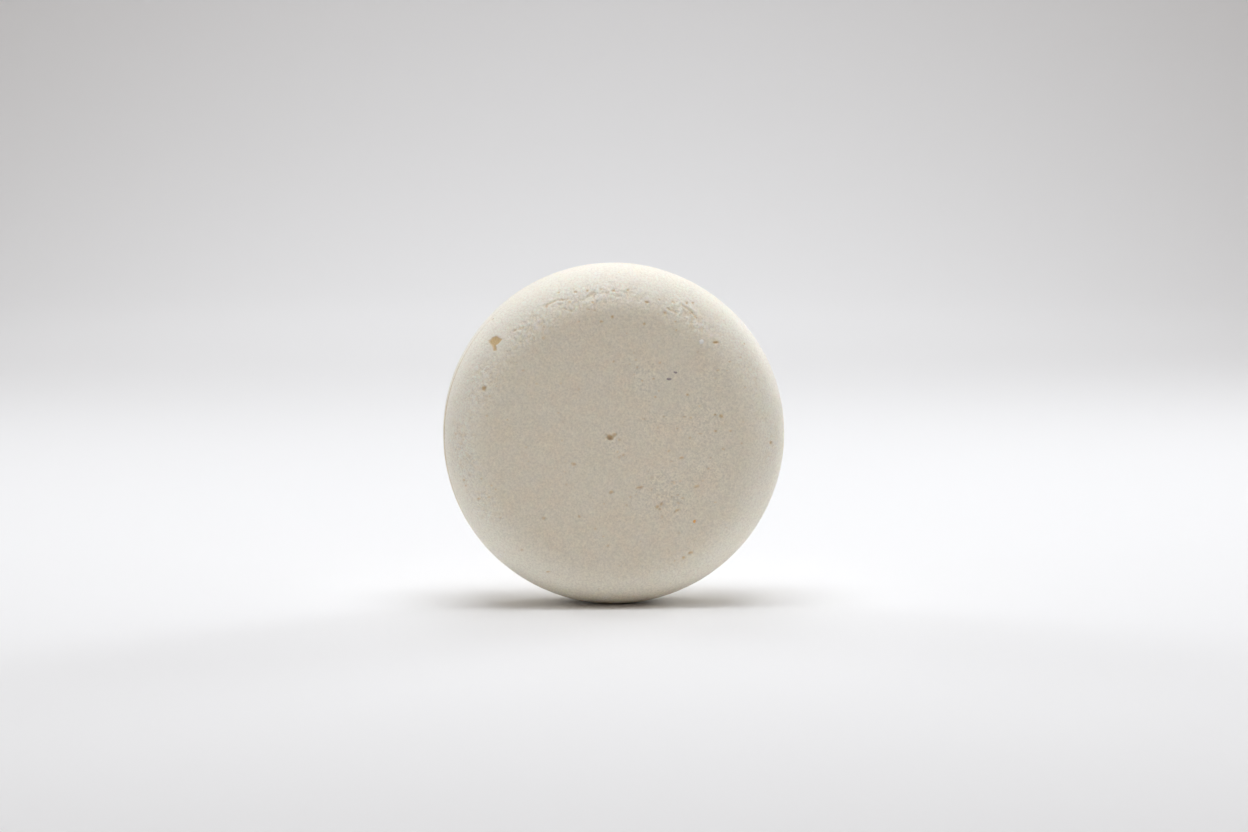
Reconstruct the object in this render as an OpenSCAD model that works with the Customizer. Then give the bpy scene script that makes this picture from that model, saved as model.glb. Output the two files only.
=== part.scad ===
// Shaving soap puck: a round cast cake with rounded shoulders, air pits on its front face
// and a few coloured grains cast into that face.
// Millimetres. The cake stands on its rim: Z is up, its axis lies along Y, the front face
// looks towards -Y, and the origin is the middle of the small flat that the rim stands on.

/* [Cake] */
// Diameter over the rim
puck_d = 76; // [56:0.5:110]
// Thickness from face to face
puck_t = 26; // [16:0.5:45]
// Radius that rounds each face into the rim
shoulder_r = 10.5; // [3:0.25:14]
// Least width kept as a straight rim between the two shoulders
rim_min = 1.5; // [0.5:0.25:6]

// Width of the small flat worn on the rim where the cake stands
stand_w = 8; // [4:0.5:14]

/* [Pits] */
// Scale of every pit mouth, 1 for the cake as cast
pit_width = 1; // [0.6:0.05:1.3]
// Scale of every pit depth, 1 for the cake as cast
pit_depth = 1; // [0.5:0.05:1.2]

/* [Orange grain] */
// Diameter of the orange grain
orange_d = 0.95; // [0.6:0.05:1.4]
// Distance of the orange grain from the middle, to the right
orange_x = 17.2; // [16:0.1:19]
// Distance of the orange grain below the middle
orange_down = 18.2; // [17:0.1:19.5]

/* [Violet grain] */
// Diameter of the violet grain
violet_d = 1; // [0.6:0.05:1.2]
// Distance of the violet grain from the middle, to the right
violet_x = 12.9; // [12.5:0.1:14]
// Distance of the violet grain above the middle
violet_up = 14.7; // [14.3:0.1:16]

/* [Violet fleck] */
// Diameter of each end of the violet fleck
fleck_d = 0.6; // [0.4:0.05:0.7]
// Length between the two ends of the fleck
fleck_l = 0.7; // [0.3:0.05:0.9]
// Distance of the fleck from the middle, to the right
fleck_x = 11.6; // [10.6:0.1:11.7]
// Distance of the fleck above the middle
fleck_up = 13.3; // [12.4:0.1:13.4]
// Slope of the fleck on the face
fleck_tilt = 35; // [0:5:60]

/* [White grain] */
// Diameter of the white grain
white_d = 1.2; // [0.8:0.05:1.6]
// Distance of the white grain from the middle, to the right
white_x = 18.6; // [17.6:0.1:19.2]
// Distance of the white grain above the middle
white_up = 21.5; // [20.5:0.1:22.2]

/* [Seats] */
// Share of a grain's radius that its middle lies below the face
grain_sink = 0.3; // [0.1:0.05:0.6]
// Gap between a grain and the soap around it
seat_gap = 0.03; // [0.01:0.01:0.1]

/* [View] */
// Sub-part to draw, or all of them

/* [Hidden] */
$fn = 96;

puck_r = puck_d / 2;
shoulder = min(shoulder_r, (puck_t - rim_min) / 2);
rim_w = puck_t - 2 * shoulder;
flat_r = puck_r - shoulder;
stand_h = sqrt(puck_r * puck_r - stand_w * stand_w / 4);

// The pits and grains are placed on a cake of this diameter and spread with puck_d.
drawn_d = 76;
spread = puck_d / drawn_d;
slack = 1;

soap = [0.93, 0.90, 0.82];
orange = [0.82, 0.55, 0.25];
violet = [0.42, 0.37, 0.45];
white = [0.95, 0.95, 0.93];

// Each pit: right of the middle, above the middle, width of the mouth, depth.
LARGE_PITS = [
    // three lobes of the star-shaped pit, upper left
    [-26.6, 22.0, 2.2, 1.1], [-25.8, 21.7, 1.5, 0.8], [-26.7, 20.8, 1.3, 0.8],
    // round pit on the left
    [-29.1, 11.4, 1.4, 0.8],
    // four lobes of the middle pit
    [-1.3, 0.6, 1.5, 0.9], [-0.5, 1.1, 1.4, 0.7], [-2.1, 1.2, 0.8, 0.4], [0.5, 0.2, 0.8, 0.35]
];
FACE_PITS = [
    [0.3, -2.7, 0.5, 0.3], [-1.2, -11.6, 1.3, 0.5], [4.6, -10.8, 0.9, 0.45],
    [5.4, -10.4, 0.9, 0.45], [9.0, -14.9, 1.0, 0.5], [9.9, -14.4, 0.9, 0.45],
    [9.6, -15.3, 0.7, 0.4], [13.1, -15.9, 0.7, 0.35], [13.8, -15.5, 0.7, 0.35],
    [14.3, -4.1, 1.1, 0.35], [17.6, -10.4, 1.2, 0.4], [20.2, -6.5, 0.8, 0.3],
    [23.5, -2.2, 1.0, 0.35], [21.8, 1.8, 0.9, 0.3], [16.2, 0.3, 0.8, 0.25],
    [23.0, 5.1, 1.1, 0.45], [21.7, 5.4, 0.8, 0.35], [15.6, 9.8, 0.9, 0.35],
    [8.5, 9.4, 0.6, 0.3], [6.1, 25.4, 0.8, 0.35], [-9.4, -5.3, 1.2, 0.45],
    [-16.0, -17.2, 1.2, 0.45], [-12.2, 12.4, 0.6, 0.25], [-8.2, 11.1, 0.6, 0.25]
];
SHOULDER_PITS = [
    [21.9, 21.3, 1.5, 0.6], [6.7, 30.2, 1.1, 0.4], [10.7, 27.9, 1.1, 0.4],
    [16.2, 27.2, 1.1, 0.4], [17.2, 27.7, 1.0, 0.35], [34.4, -1.1, 1.2, 0.5],
    [16.4, -25.2, 1.3, 0.35], [14.9, -26.3, 1.0, 0.3], [-15.0, -29.4, 1.2, 0.3],
    [-33.5, -9.1, 0.9, 0.4], [-29.6, -8.5, 0.7, 0.3], [-30.3, -13.1, 0.8, 0.35],
    [-25.5, -17.1, 0.8, 0.35], [-15.3, 29.2, 1.0, 0.35], [-13.3, 29.9, 0.9, 0.3],
    [-12.6, 32.2, 1.0, 0.35], [-10.2, 30.3, 0.9, 0.3], [-8.9, 32.4, 1.1, 0.35],
    [-6.3, 32.6, 0.9, 0.3], [-5.2, 30.2, 0.9, 0.3], [-3.2, 33.0, 0.9, 0.3],
    [-0.6, 32.6, 1.0, 0.3], [2.4, 32.8, 0.9, 0.3]
];

// Half of the cake's outline: radius across, thickness up.
module outline() {
    intersection() {
        union() {
            translate([0, -puck_t / 2]) square([flat_r, puck_t]);
            translate([0, -rim_w / 2]) square([puck_r, rim_w]);
            for (side = [-1, 1])
                translate([flat_r, side * rim_w / 2]) circle(r = shoulder);
        }
        translate([0, -puck_t]) square([puck_r + slack, 2 * puck_t]);
    }
}

// The smooth cake, before its stand, pits and seats are cut.
module cake() {
    rotate_extrude() outline();
}

// The smooth cake with the small flat that it stands on.
module cake_with_stand() {
    difference() {
        cake();
        translate([-puck_r, -stand_h - puck_r, -puck_t]) cube([puck_d, puck_r, 2 * puck_t]);
    }
}

// Stands the cake on its rim with its front face towards -Y.
module upright() {
    translate([0, 0, stand_h]) rotate([90, 0, 0]) children();
}

// Puts children on the cake's front skin, face or shoulder, with their Z pointing out of it
// and their X away from the middle.
module on_skin(right, up) {
    reach = norm([right, up]) * spread;
    lean = asin(min(1, max(0, reach - flat_r) / shoulder));
    rotate([0, 0, atan2(up, right)])
        translate([min(reach, flat_r), 0, puck_t / 2 - shoulder])
            rotate([0, lean, 0])
                translate([0, 0, shoulder])
                    children();
}

// A ball that cuts one pit square to the skin.
module pit(right, up, width, depth) {
    half = width * pit_width / 2;
    deep = depth * pit_depth;
    ball_r = (half * half + deep * deep) / (2 * deep);
    on_skin(right, up) translate([0, 0, ball_r - deep]) sphere(r = ball_r);
}

// A ball set into the skin; grow opens it out into the seat that holds it.
module ball_at(right, up, width, grow) {
    on_skin(right, up)
        translate([0, 0, -grain_sink * width / 2])
            sphere(r = width / 2 + grow);
}

// Keeps what lies inside the cake's outline, so a grain is flush with the soap.
module flush() {
    intersection() {
        children();
        cake();
    }
}

module orange_body(grow = 0) {
    ball_at(orange_x, -orange_down, orange_d, grow);
}

module violet_body(grow = 0) {
    ball_at(violet_x, violet_up, violet_d, grow);
}

module fleck_body(grow = 0) {
    on_skin(fleck_x, fleck_up)
        translate([0, 0, -grain_sink * fleck_d / 2])
            rotate([0, 0, fleck_tilt - atan2(fleck_up, fleck_x)]) {
                rotate([0, 90, 0]) cylinder(r = fleck_d / 2 + grow, h = fleck_l, center = true);
                for (end = [-1, 1])
                    translate([end * fleck_l / 2, 0, 0]) sphere(r = fleck_d / 2 + grow);
            }
}

module white_body(grow = 0) {
    ball_at(white_x, white_up, white_d, grow);
}

module puck() {
    color(soap) upright() difference() {
        cake_with_stand();
        for (p = concat(LARGE_PITS, FACE_PITS, SHOULDER_PITS)) pit(p[0], p[1], p[2], p[3]);
        orange_body(seat_gap);
        violet_body(seat_gap);
        fleck_body(seat_gap);
        white_body(seat_gap);
    }
}

module orange_grain() {
    color(orange) upright() flush() orange_body();
}

module violet_grain() {
    color(violet) upright() flush() violet_body();
}

module violet_fleck() {
    color(violet) upright() flush() fleck_body();
}

module white_grain() {
    color(white) upright() flush() white_body();
}

puck();
orange_grain();
violet_grain();
violet_fleck();
white_grain();
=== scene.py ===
"""Shaving soap puck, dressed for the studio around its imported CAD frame.

The cake is one dense skin with its air pits, crumbs and cracks as real relief, and four
coloured grains sit in it. Lengths in the classes are millimetres unless a name says metres.
The cake stands on its rim: X runs right, its front face looks towards -Y, and Z is up.
"""

import logging
import math
from dataclasses import dataclass, field
from enum import Enum

import bpy
import numpy as np
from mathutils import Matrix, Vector


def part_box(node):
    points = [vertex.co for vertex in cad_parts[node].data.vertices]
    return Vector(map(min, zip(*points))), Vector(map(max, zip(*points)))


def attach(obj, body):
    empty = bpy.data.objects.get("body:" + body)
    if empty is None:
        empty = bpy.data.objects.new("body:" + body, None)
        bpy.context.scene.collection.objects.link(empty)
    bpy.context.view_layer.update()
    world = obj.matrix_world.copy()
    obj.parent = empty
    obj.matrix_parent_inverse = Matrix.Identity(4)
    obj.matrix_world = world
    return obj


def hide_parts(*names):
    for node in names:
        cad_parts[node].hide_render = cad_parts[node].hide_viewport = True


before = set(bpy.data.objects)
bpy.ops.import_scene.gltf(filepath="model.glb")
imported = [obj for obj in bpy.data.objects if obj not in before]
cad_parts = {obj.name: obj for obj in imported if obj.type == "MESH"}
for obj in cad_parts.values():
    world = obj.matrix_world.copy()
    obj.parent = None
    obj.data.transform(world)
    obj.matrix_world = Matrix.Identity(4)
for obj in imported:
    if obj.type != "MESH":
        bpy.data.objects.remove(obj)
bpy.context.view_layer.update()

LOG = logging.getLogger("shaving_soap_puck")
MM = 0.001
FULL_TURN = 2.0 * math.pi
QUARTER_TURN = 0.5 * math.pi

# The noises look their random numbers up in a shuffled table of this many rows.
LATTICE_SIZE = 256
# Brings the gradient noise up to about -1 to 1.
NOISE_GAIN = 1.6
# How far from its centre a crumb has fallen to nothing, in cells.
CRUMB_REACH = 0.9
# Where the seeds of each kind of mark on the skin start.
PIT_SEEDS = 100
CRACK_SEEDS = 300
CHIP_SEEDS = 400
STRAY_SEEDS = 500
# Turns the face by about 30 degrees, so that its ripples run on a slant.
RIPPLE_SLANT = np.array([[0.87, 0.0, 0.5], [0.0, 1.0, 0.0], [-0.5, 0.0, 0.87]])


# ---------------------------------------------------------------------------------------
# Small shared tools
# ---------------------------------------------------------------------------------------


def linear_colour(hex_code: str) -> tuple[float, float, float, float]:
    """Turns an sRGB hex colour into Blender's linear RGBA.

    Args:
        hex_code: Six hex digits, with or without a leading hash.

    Returns:
        Linear red, green and blue, and an alpha of one.
    """
    digits = hex_code.lstrip("#")
    channels = [int(digits[i : i + 2], 16) / 255.0 for i in (0, 2, 4)]
    linear = [c / 12.92 if c <= 0.04045 else ((c + 0.055) / 1.055) ** 2.4 for c in channels]
    return (linear[0], linear[1], linear[2], 1.0)


def add_node(
    tree: bpy.types.NodeTree,
    kind: str,
    settings: dict | None = None,
    links: dict | None = None,
) -> bpy.types.Node:
    """Adds one shader node, sets its properties and sockets, and links its inputs.

    Args:
        tree: The material's node tree.
        kind: The node's type, such as "ShaderNodeTexNoise".
        settings: Property names, or input sockets by name or number, and their values.
        links: Input sockets by name or number, and the output sockets that feed them.

    Returns:
        The new node.
    """
    node = tree.nodes.new(kind)
    for key, value in (settings or {}).items():
        if isinstance(key, str) and hasattr(node, key):
            setattr(node, key, value)
        else:
            node.inputs[key].default_value = value
    for key, source in (links or {}).items():
        tree.links.new(source, node.inputs[key])
    return node


def blank_material(name: str) -> tuple[bpy.types.Material, bpy.types.NodeTree]:
    """Makes an empty node material.

    Args:
        name: The material's name.

    Returns:
        The material and its node tree.
    """
    material = bpy.data.materials.new(name)
    material.use_nodes = True
    material.node_tree.nodes.clear()
    return material, material.node_tree


def smooth_step(low: float, high: float, values: np.ndarray) -> np.ndarray:
    """Eases values from 0 at low to 1 at high.

    Args:
        low: Where the step starts; it may be above high for a falling step.
        high: Where the step ends.
        values: The numbers to ease.

    Returns:
        The eased numbers, from 0 to 1.
    """
    t = np.clip((values - low) / (high - low), 0.0, 1.0)
    return t * t * (3.0 - 2.0 * t)


def hill(values: np.ndarray, centre: float, half_width: float) -> np.ndarray:
    """Gives a soft hill of height 1 at centre that has all but gone at twice half_width.

    Args:
        values: The numbers to weigh.
        centre: Where the hill stands.
        half_width: Distance at which it has dropped to about a third.

    Returns:
        The weights, from 0 to 1.
    """
    return np.exp(-(((values - centre) / half_width) ** 2))


def shuffled_order(rng: np.random.Generator) -> np.ndarray:
    """Shuffles the lattice's numbers, three times over so that no look-up runs past the end."""
    return np.tile(rng.permutation(LATTICE_SIZE), 3)


def lattice_keys(order: np.ndarray, cells: np.ndarray) -> np.ndarray:
    """Picks a fixed row of the lattice's table for each cell.

    Args:
        order: The shuffled numbers.
        cells: Rows of whole x, y, z.

    Returns:
        One row number for each cell.
    """
    spot = cells % LATTICE_SIZE
    return order[order[order[spot[:, 0]] + spot[:, 1]] + spot[:, 2]]


def lattice_noise(points: np.ndarray, cell: float, seed: int) -> np.ndarray:
    """Smooth three-dimensional gradient noise.

    Args:
        points: Rows of x, y, z.
        cell: Size of one lump of the noise, in the units of the points.
        seed: Picks one fixed pattern.

    Returns:
        One value for each point, from about -1 to 1.
    """
    rng = np.random.default_rng(seed)
    order = shuffled_order(rng)
    arrows = rng.normal(size=(LATTICE_SIZE, 3))
    arrows /= np.linalg.norm(arrows, axis=1, keepdims=True)
    scaled = points / cell
    base = np.floor(scaled).astype(int)
    inner = scaled - base
    ease = inner * inner * inner * (inner * (inner * 6.0 - 15.0) + 10.0)
    total = np.zeros(len(points))
    for corner in range(8):
        step = np.array([(corner >> bit) & 1 for bit in range(3)])
        arrow = arrows[lattice_keys(order, base + step)]
        pull = ((inner - step) * arrow).sum(axis=1)
        total += pull * np.prod(np.where(step, ease, 1.0 - ease), axis=1)
    return NOISE_GAIN * total


def crumb_cells(points: np.ndarray, cell: float, seed: int) -> np.ndarray:
    """Packed round crumbs: the distance to the nearest of one stray centre in each cell.

    Args:
        points: Rows of x, y, z.
        cell: Size of one crumb, in the units of the points.
        seed: Picks one fixed pattern.

    Returns:
        1 at the middle of a crumb, falling to about 0 between crumbs.
    """
    rng = np.random.default_rng(seed)
    order = shuffled_order(rng)
    strays = rng.random((LATTICE_SIZE, 3))
    scaled = points / cell
    base = np.floor(scaled).astype(int)
    nearest = np.full(len(points), np.inf)
    for dx in (-1, 0, 1):
        for dy in (-1, 0, 1):
            for dz in (-1, 0, 1):
                at = base + (dx, dy, dz)
                gap = at + strays[lattice_keys(order, at)] - scaled
                nearest = np.minimum(nearest, (gap * gap).sum(axis=1))
    return 1.0 - np.clip(np.sqrt(nearest) / CRUMB_REACH, 0.0, 1.0)


def turned_skin(
    profile: list[tuple[float, float]], around: int, far_hub: bool
) -> tuple[np.ndarray, list]:
    """Turns a profile once round the third axis, from a hub point outwards.

    Args:
        profile: Pairs of distance from the axis and place along it; the first is the hub.
        around: Number of points in each ring.
        far_hub: Whether the last pair is a second hub that closes the far end.

    Returns:
        The points, and the faces as lists of point numbers.
    """
    turn = FULL_TURN * np.arange(around) / around
    circle = np.stack([np.cos(turn), np.sin(turn)], axis=1)
    rings = profile[1:-1] if far_hub else profile[1:]
    points = [np.array([[0.0, 0.0, profile[0][1]]])]
    for spread, along in rings:
        points.append(np.column_stack([spread * circle, np.full(around, along)]))
    if far_hub:
        points.append(np.array([[0.0, 0.0, profile[-1][1]]]))
    faces = []
    for column in range(around):
        after = (column + 1) % around
        faces.append([0, 1 + column, 1 + after])
        for row in range(len(rings) - 1):
            near, far = 1 + row * around, 1 + (row + 1) * around
            faces.append([near + column, far + column, far + after, near + after])
        if far_hub:
            last = 1 + (len(rings) - 1) * around
            faces.append([last + after, last + column, last + around])
    return np.concatenate(points), faces


def make_object(name: str, points: np.ndarray, faces: list) -> bpy.types.Object:
    """Makes a smooth-shaded mesh object from points in metres.

    Args:
        name: The object's name.
        points: Rows of x, y, z in metres.
        faces: Lists of point numbers.

    Returns:
        The object, linked to the scene.
    """
    mesh = bpy.data.meshes.new(name)
    mesh.from_pydata(points.tolist(), [], faces)
    mesh.validate()
    mesh.shade_smooth()
    thing = bpy.data.objects.new(name, mesh)
    bpy.context.scene.collection.objects.link(thing)
    return thing


def paint_points(thing: bpy.types.Object, name: str, values: np.ndarray) -> None:
    """Stores one number for each point of a mesh, for its material to read.

    Args:
        thing: The mesh object.
        name: The attribute's name.
        values: One number for each point.
    """
    layer = thing.data.attributes.new(name, "FLOAT", "POINT")
    layer.data.foreach_set("value", np.ascontiguousarray(values, dtype=np.float32))


# ---------------------------------------------------------------------------------------
# Finishes
# ---------------------------------------------------------------------------------------


class PointTint(Enum):
    """What the numbers stored on the cake's points stand for."""

    # Pale dried skin and painted light on the shoulders, least at the foot as painted shade.
    DRIED_AND_PAINTED_LIGHT = "dried_and_painted_light"
    # Rubbed wear and painted highlight on the crumb tops.
    RUBBED_AND_PAINTED_HIGHLIGHT = "rubbed_and_painted_highlight"
    TAN_EDGE_LINE = "tan_edge_line"
    # Tan and painted shade in pits, cracks, chips and the gaps between crumbs.
    HOLLOW_TAN_AND_SHADE = "hollow_tan_and_shade"
    COARSE = "coarse"


@dataclass(frozen=True)
class CastTallowSoap:
    """Hard tallow and stearic soap, poured warm into a ring and left to cure.

    The skin dries to a dull cream with a very fine grain; light soaks in about half a
    millimetre, which softens every edge. Pits, cracks and the gaps between crumbs are painted
    a darker warm tan: the tan inside them, and painted shade. The shoulders are painted paler,
    as dried skin and as painted light, and the crumb tops paler, as rubbed wear and as
    painted highlight. Real soap crystals are too fine to show, so they are drawn as coarse as they
    need to be: crystal_mm for their colour, grain_mm and fine_grain_mm for their bumps.
    """

    skin: str = "#F1E8D5"
    skin_cool: str = "#F0E8D6"
    skin_warm: str = "#F2E7D3"
    # Pale dried skin and painted light on the shoulders.
    dried_and_painted_light: str = "#FFF9EA"
    # A darker warm tan in pits, cracks, chips and crumb gaps: their tan, and painted shade.
    hollow_tan_and_shade: str = "#E4C99A"
    # A thin tan line just in front of the rim, on the left edge.
    tan_edge_line: str = "#D9C59C"
    # Rubbed wear and painted highlight on the crumb tops.
    rubbed_and_painted_highlight: str = "#FCF8ED"
    roughness: float = 0.56
    roughness_spread: float = 0.06
    ior: float = 1.47
    soak_depth_mm: float = 0.5
    soak_share: float = 0.25
    soak_by_colour: tuple[float, float, float] = (1.0, 0.62, 0.38)
    crystal_mm: float = 0.45
    crystal_swing: float = 0.46
    coarse_swing: float = 0.5
    grain_mm: float = 0.5
    grain_rise_mm: float = 0.12
    grain_strength: float = 0.9
    fine_grain_mm: float = 0.22
    fine_grain_rise_mm: float = 0.05
    fine_grain_strength: float = 0.7
    mottle_mm: float = 5.0
    mottle_ends: tuple[float, float] = (0.36, 0.64)

    def material(self) -> bpy.types.Material:
        """Builds the soap's node material.

        Returns:
            The finished material.
        """
        material, tree = blank_material("cast_tallow_soap")
        place = add_node(tree, "ShaderNodeTexCoord").outputs["Object"]
        mottle = add_node(
            tree,
            "ShaderNodeTexNoise",
            {"Scale": 1.0 / (self.mottle_mm * MM), "Detail": 3.0, "Roughness": 0.6},
            {"Vector": place},
        )
        cool_warm = add_node(
            tree, "ShaderNodeValToRGB", links={"Fac": mottle.outputs["Fac"]}
        )
        ramp = cool_warm.color_ramp
        for end, place_on_ramp, code in zip(
            ramp.elements, self.mottle_ends, (self.skin_cool, self.skin_warm)
        ):
            end.position = place_on_ramp
            end.color = linear_colour(code)
        middle = ramp.elements.new(0.5)
        middle.color = linear_colour(self.skin)
        colour = cool_warm.outputs["Color"]
        # Mixes in the painted tints: dried skin and painted light on the shoulders, rubbed wear
        # and painted highlight on the crumb tops, the thin tan line, and tan with painted shade in
        # the hollows.
        for tint, code in (
            (PointTint.DRIED_AND_PAINTED_LIGHT, self.dried_and_painted_light),
            (PointTint.RUBBED_AND_PAINTED_HIGHLIGHT, self.rubbed_and_painted_highlight),
            (PointTint.TAN_EDGE_LINE, self.tan_edge_line),
            (PointTint.HOLLOW_TAN_AND_SHADE, self.hollow_tan_and_shade),
        ):
            share = add_node(tree, "ShaderNodeAttribute", {"attribute_name": tint.value})
            mix = add_node(
                tree,
                "ShaderNodeMix",
                {"data_type": "RGBA", 7: linear_colour(code)},
                {0: share.outputs["Fac"], 6: colour},
            )
            colour = mix.outputs[2]
        colour = self.speckled(tree, colour, place)
        grain = add_node(
            tree,
            "ShaderNodeTexNoise",
            {"Scale": 1.0 / (self.grain_mm * MM), "Detail": 2.0, "Roughness": 0.6},
            {"Vector": place},
        )
        coarse_bump = add_node(
            tree,
            "ShaderNodeBump",
            {"Strength": self.grain_strength, "Distance": self.grain_rise_mm * MM},
            {"Height": grain.outputs["Fac"]},
        )
        fine = add_node(
            tree,
            "ShaderNodeTexNoise",
            {"Scale": 1.0 / (self.fine_grain_mm * MM), "Detail": 1.0},
            {"Vector": place},
        )
        fine_bump = add_node(
            tree,
            "ShaderNodeBump",
            {"Strength": self.fine_grain_strength, "Distance": self.fine_grain_rise_mm * MM},
            {"Height": fine.outputs["Fac"], "Normal": coarse_bump.outputs["Normal"]},
        )
        dullness = add_node(
            tree,
            "ShaderNodeMapRange",
            {
                "To Min": self.roughness - self.roughness_spread,
                "To Max": self.roughness + self.roughness_spread,
            },
            {"Value": grain.outputs["Fac"]},
        )
        shader = add_node(
            tree,
            "ShaderNodeBsdfPrincipled",
            {
                "IOR": self.ior,
                "Subsurface Weight": self.soak_share,
                "Subsurface Radius": self.soak_by_colour,
                "Subsurface Scale": self.soak_depth_mm * MM,
            },
            {
                "Base Color": colour,
                "Roughness": dullness.outputs["Result"],
                "Normal": fine_bump.outputs["Normal"],
            },
        )
        add_node(
            tree, "ShaderNodeOutputMaterial", links={"Surface": shader.outputs["BSDF"]}
        )
        return material

    def speckled(
        self,
        tree: bpy.types.NodeTree,
        colour: bpy.types.NodeSocket,
        place: bpy.types.NodeSocket,
    ) -> bpy.types.NodeSocket:
        """Dulls and brightens the colour crystal by crystal, most where the skin is coarse.

        Args:
            tree: The material's node tree.
            colour: The colour so far.
            place: The point on the cake, in metres.

        Returns:
            The speckled colour.
        """
        crystals = add_node(
            tree,
            "ShaderNodeTexNoise",
            {"Scale": 1.0 / (self.crystal_mm * MM), "Detail": 2.0, "Roughness": 0.7},
            {"Vector": place},
        )
        coarse = add_node(
            tree, "ShaderNodeAttribute", {"attribute_name": PointTint.COARSE.value}
        )
        swing = add_node(
            tree,
            "ShaderNodeMath",
            {"operation": "MULTIPLY_ADD", 1: self.coarse_swing, 2: self.crystal_swing},
            {0: coarse.outputs["Fac"]},
        )
        centred = add_node(
            tree, "ShaderNodeMath", {"operation": "SUBTRACT", 1: 0.5}, {0: crystals.outputs["Fac"]}
        )
        brightness = add_node(
            tree,
            "ShaderNodeMath",
            {"operation": "MULTIPLY_ADD", 2: 1.0},
            {0: centred.outputs[0], 1: swing.outputs[0]},
        )
        speckle = add_node(
            tree,
            "ShaderNodeVectorMath",
            {"operation": "SCALE"},
            {0: colour, "Scale": brightness.outputs[0]},
        )
        return speckle.outputs["Vector"]


@dataclass(frozen=True)
class GrainFinish:
    """A dry chip cast into the soap: dull, uneven in colour, with a broken surface."""

    name: str
    light: str
    dark: str
    roughness: float
    ior: float = 1.5
    fleck_mm: float = 0.35
    fleck_ends: tuple[float, float] = (0.35, 0.6)
    bite_mm: float = 0.12
    bite_rise_mm: float = 0.03
    bite_strength: float = 0.4

    def material(self) -> bpy.types.Material:
        """Builds the chip's node material.

        Returns:
            The finished material.
        """
        material, tree = blank_material(self.name)
        place = add_node(tree, "ShaderNodeTexCoord").outputs["Object"]
        flecks = add_node(
            tree,
            "ShaderNodeTexNoise",
            {"Scale": 1.0 / (self.fleck_mm * MM), "Detail": 2.0},
            {"Vector": place},
        )
        shade = add_node(
            tree, "ShaderNodeValToRGB", links={"Fac": flecks.outputs["Fac"]}
        )
        for end, place_on_ramp, code in zip(
            shade.color_ramp.elements, self.fleck_ends, (self.dark, self.light)
        ):
            end.position = place_on_ramp
            end.color = linear_colour(code)
        bite = add_node(
            tree,
            "ShaderNodeTexNoise",
            {"Scale": 1.0 / (self.bite_mm * MM), "Detail": 1.0},
            {"Vector": place},
        )
        bump = add_node(
            tree,
            "ShaderNodeBump",
            {"Strength": self.bite_strength, "Distance": self.bite_rise_mm * MM},
            {"Height": bite.outputs["Fac"]},
        )
        shader = add_node(
            tree,
            "ShaderNodeBsdfPrincipled",
            {"Roughness": self.roughness, "IOR": self.ior},
            {"Base Color": shade.outputs["Color"], "Normal": bump.outputs["Normal"]},
        )
        add_node(
            tree, "ShaderNodeOutputMaterial", links={"Surface": shader.outputs["BSDF"]}
        )
        return material


# Dried orange peel, chopped and sieved: waxy oil cells make it bright, the cut sides are dull.
ORANGE_PEEL = GrainFinish("dried_orange_peel", "#F8C67F", "#ECB266", 0.55)
# Dried lavender petal, crumbled: grey violet, papery and dull.
LAVENDER = GrainFinish("dried_lavender", "#BAACA6", "#978B88", 0.75)
# Undissolved soap flake: whiter and chalkier than the cake round it.
SOAP_FLAKE = GrainFinish("undissolved_soap_flake", "#FFFDF8", "#F9F7F0", 0.6)


@dataclass(frozen=True)
class PaperSweep:
    """Matte white background paper off a roll, pressed and uncoated: pale and dull.

    Real paper fibres are too fine to show, so they are drawn 1.5 mm across and very faint.
    """

    colour: str = "#F3F3F3"
    roughness: float = 0.85
    shine: float = 0.2
    fibre_mm: float = 1.5
    fibre_rise_mm: float = 0.05
    fibre_strength: float = 0.05

    def material(self) -> bpy.types.Material:
        """Builds the paper's node material.

        Returns:
            The finished material.
        """
        material, tree = blank_material("background_paper")
        place = add_node(tree, "ShaderNodeTexCoord").outputs["Object"]
        fibre = add_node(
            tree,
            "ShaderNodeTexNoise",
            {"Scale": 1.0 / (self.fibre_mm * MM), "Detail": 2.0},
            {"Vector": place},
        )
        bump = add_node(
            tree,
            "ShaderNodeBump",
            {"Strength": self.fibre_strength, "Distance": self.fibre_rise_mm * MM},
            {"Height": fibre.outputs["Fac"]},
        )
        shader = add_node(
            tree,
            "ShaderNodeBsdfPrincipled",
            {
                "Base Color": linear_colour(self.colour),
                "Roughness": self.roughness,
                "Specular IOR Level": self.shine,
            },
            {"Normal": bump.outputs["Normal"]},
        )
        add_node(
            tree, "ShaderNodeOutputMaterial", links={"Surface": shader.outputs["BSDF"]}
        )
        return material


# ---------------------------------------------------------------------------------------
# The cake
# ---------------------------------------------------------------------------------------


@dataclass(frozen=True)
class Pit:
    """One air pit: where its mouth is, how wide, tall and deep it is, and how strongly its inside
    is painted tan and shade.
    """

    right: float
    up: float
    width: float
    height: float
    depth: float
    turn: float = 0.0
    tan: float = 1.0
    lip: float = 0.036


@dataclass(frozen=True)
class Chip:
    """A crumb that fell out of the skin: the outline of its sharp-edged hole, and its depth."""

    outline: tuple[tuple[float, float], ...]
    depth: float
    wall: float = 0.4
    tan: float = 1.0


@dataclass(frozen=True)
class Crack:
    """One short crack or groove, from one place on the front skin to another."""

    start: tuple[float, float]
    end: tuple[float, float]
    width: float
    depth: float
    ridge: float = 0.03


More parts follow.
